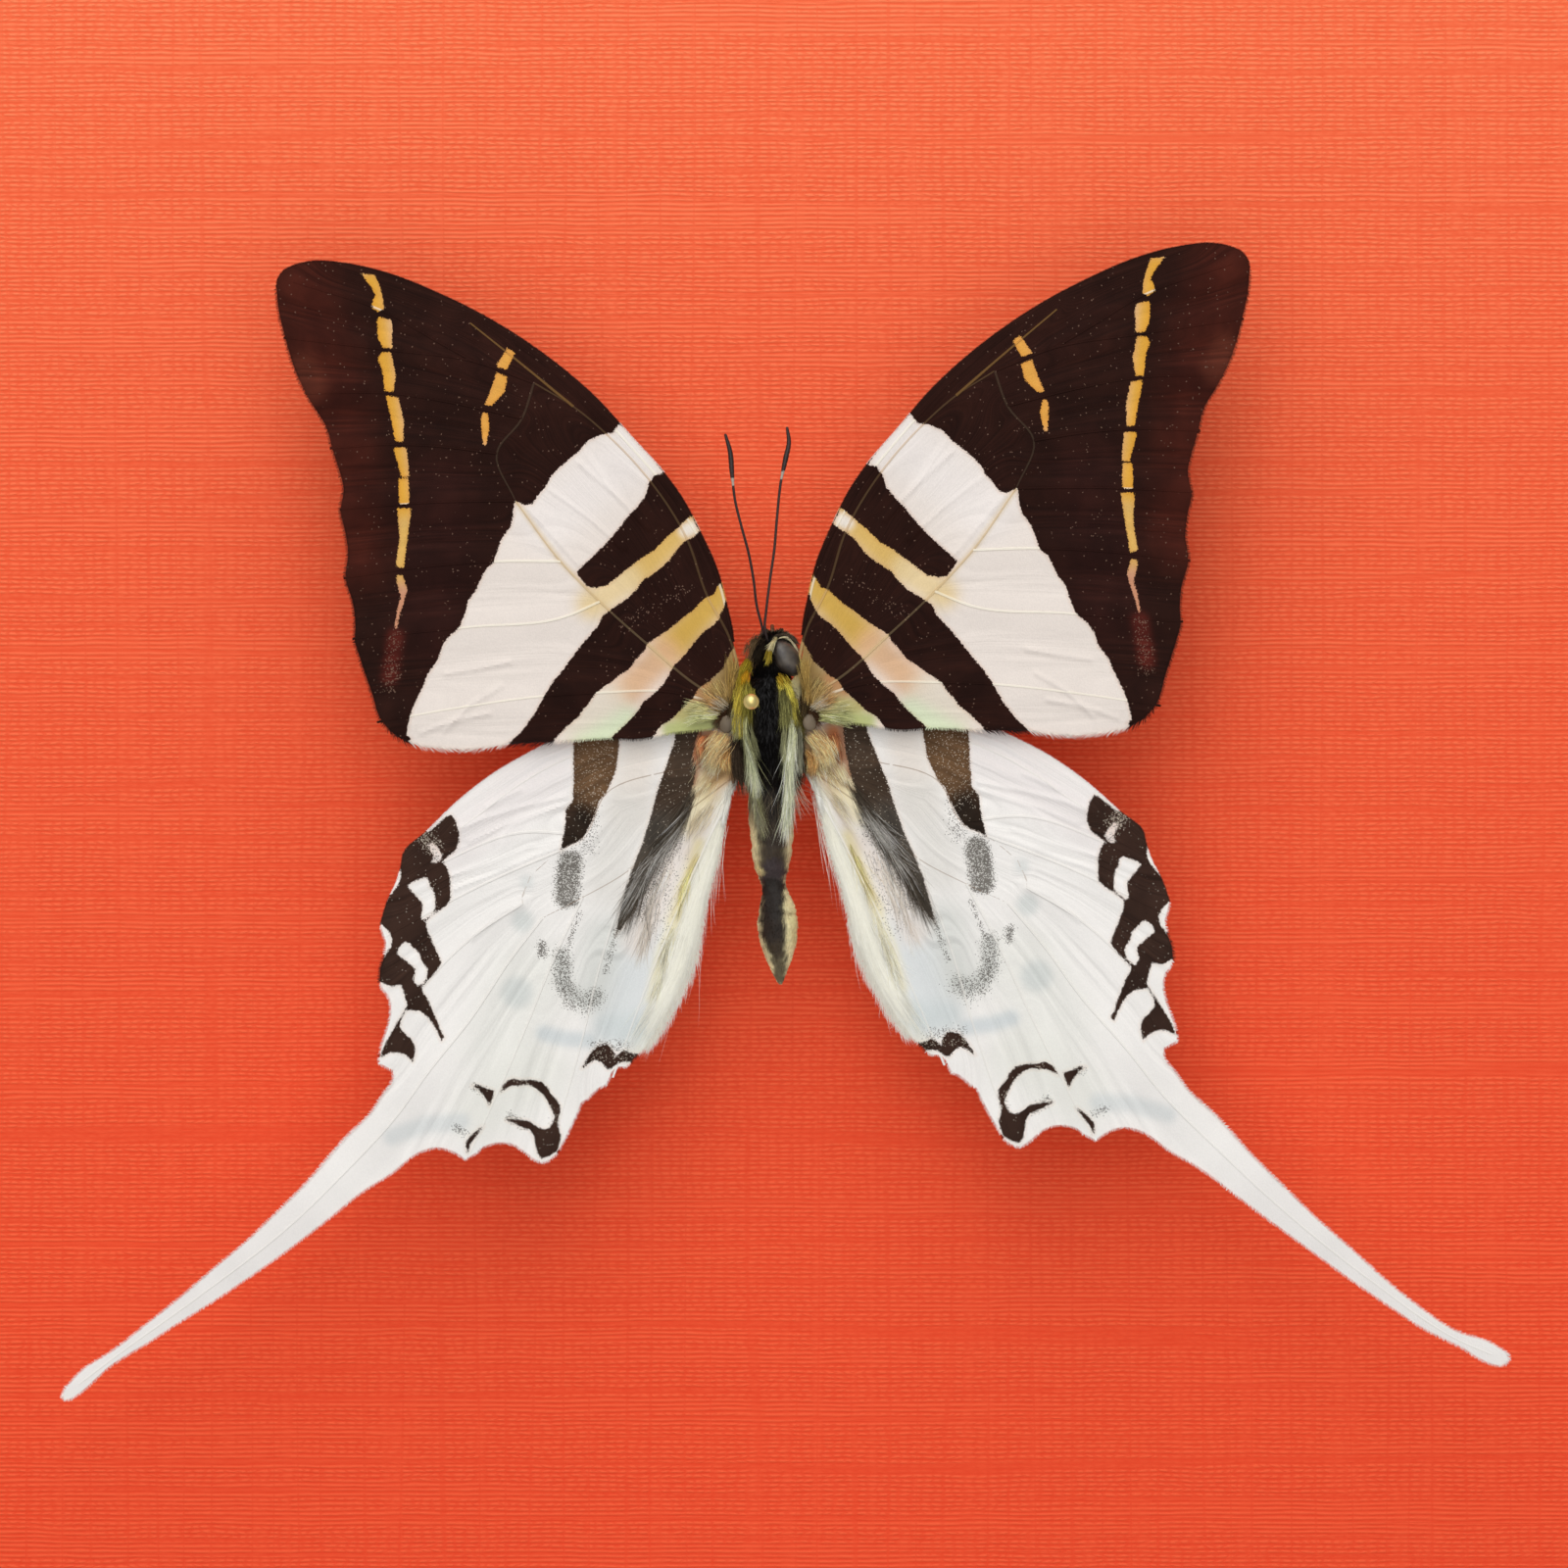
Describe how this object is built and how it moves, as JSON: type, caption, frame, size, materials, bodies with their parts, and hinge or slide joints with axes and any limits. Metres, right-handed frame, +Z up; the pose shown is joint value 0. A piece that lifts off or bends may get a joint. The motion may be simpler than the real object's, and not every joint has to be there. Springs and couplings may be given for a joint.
{
  "type": "pinned swallowtail butterfly specimen",
  "caption": "Life-size spread swallowtail butterfly with long hindwing tails, held by a brass-headed pin above a linen-covered mounting board.",
  "frame": {"origin": "centre of the mounting board's underside", "axes": "+Z up out of the board, +Y towards the insect's head, +X to the insect's right"},
  "size_m": [0.16, 0.16, 0.0413],
  "materials": {
    "linen_board": "matte linen-embossed card",
    "brass": "polished",
    "body_hair": "hairy, matte",
    "head_hair": "hairy, matte",
    "eye": "satin",
    "feeler": "satin",
    "leg": "satin",
    "abdomen_scales": "scaled, matte",
    "forewing_scales": "scaled, matte",
    "hindwing_scales": "scaled, matte"
  },
  "bodies": {
    "root": {"mount_board": "linen_board", "pin": "brass", "thorax": "body_hair", "head": "head_hair", "eye_left": "eye", "eye_right": "eye", "antenna_left": "feeler", "antenna_right": "feeler", "palp_left": "body_hair", "palp_right": "body_hair", "proboscis": "leg", "abdomen": "abdomen_scales", "leg_fore_left": "leg", "leg_fore_right": "leg", "leg_mid_left": "leg", "leg_mid_right": "leg", "leg_hind_left": "leg", "leg_hind_right": "leg", "forewing_left": "forewing_scales", "forewing_right": "forewing_scales", "hindwing_left": "hindwing_scales", "hindwing_right": "hindwing_scales", "hindwing_tail_left": "hindwing_scales", "hindwing_tail_right": "hindwing_scales"}
  },
  "joints": []
}
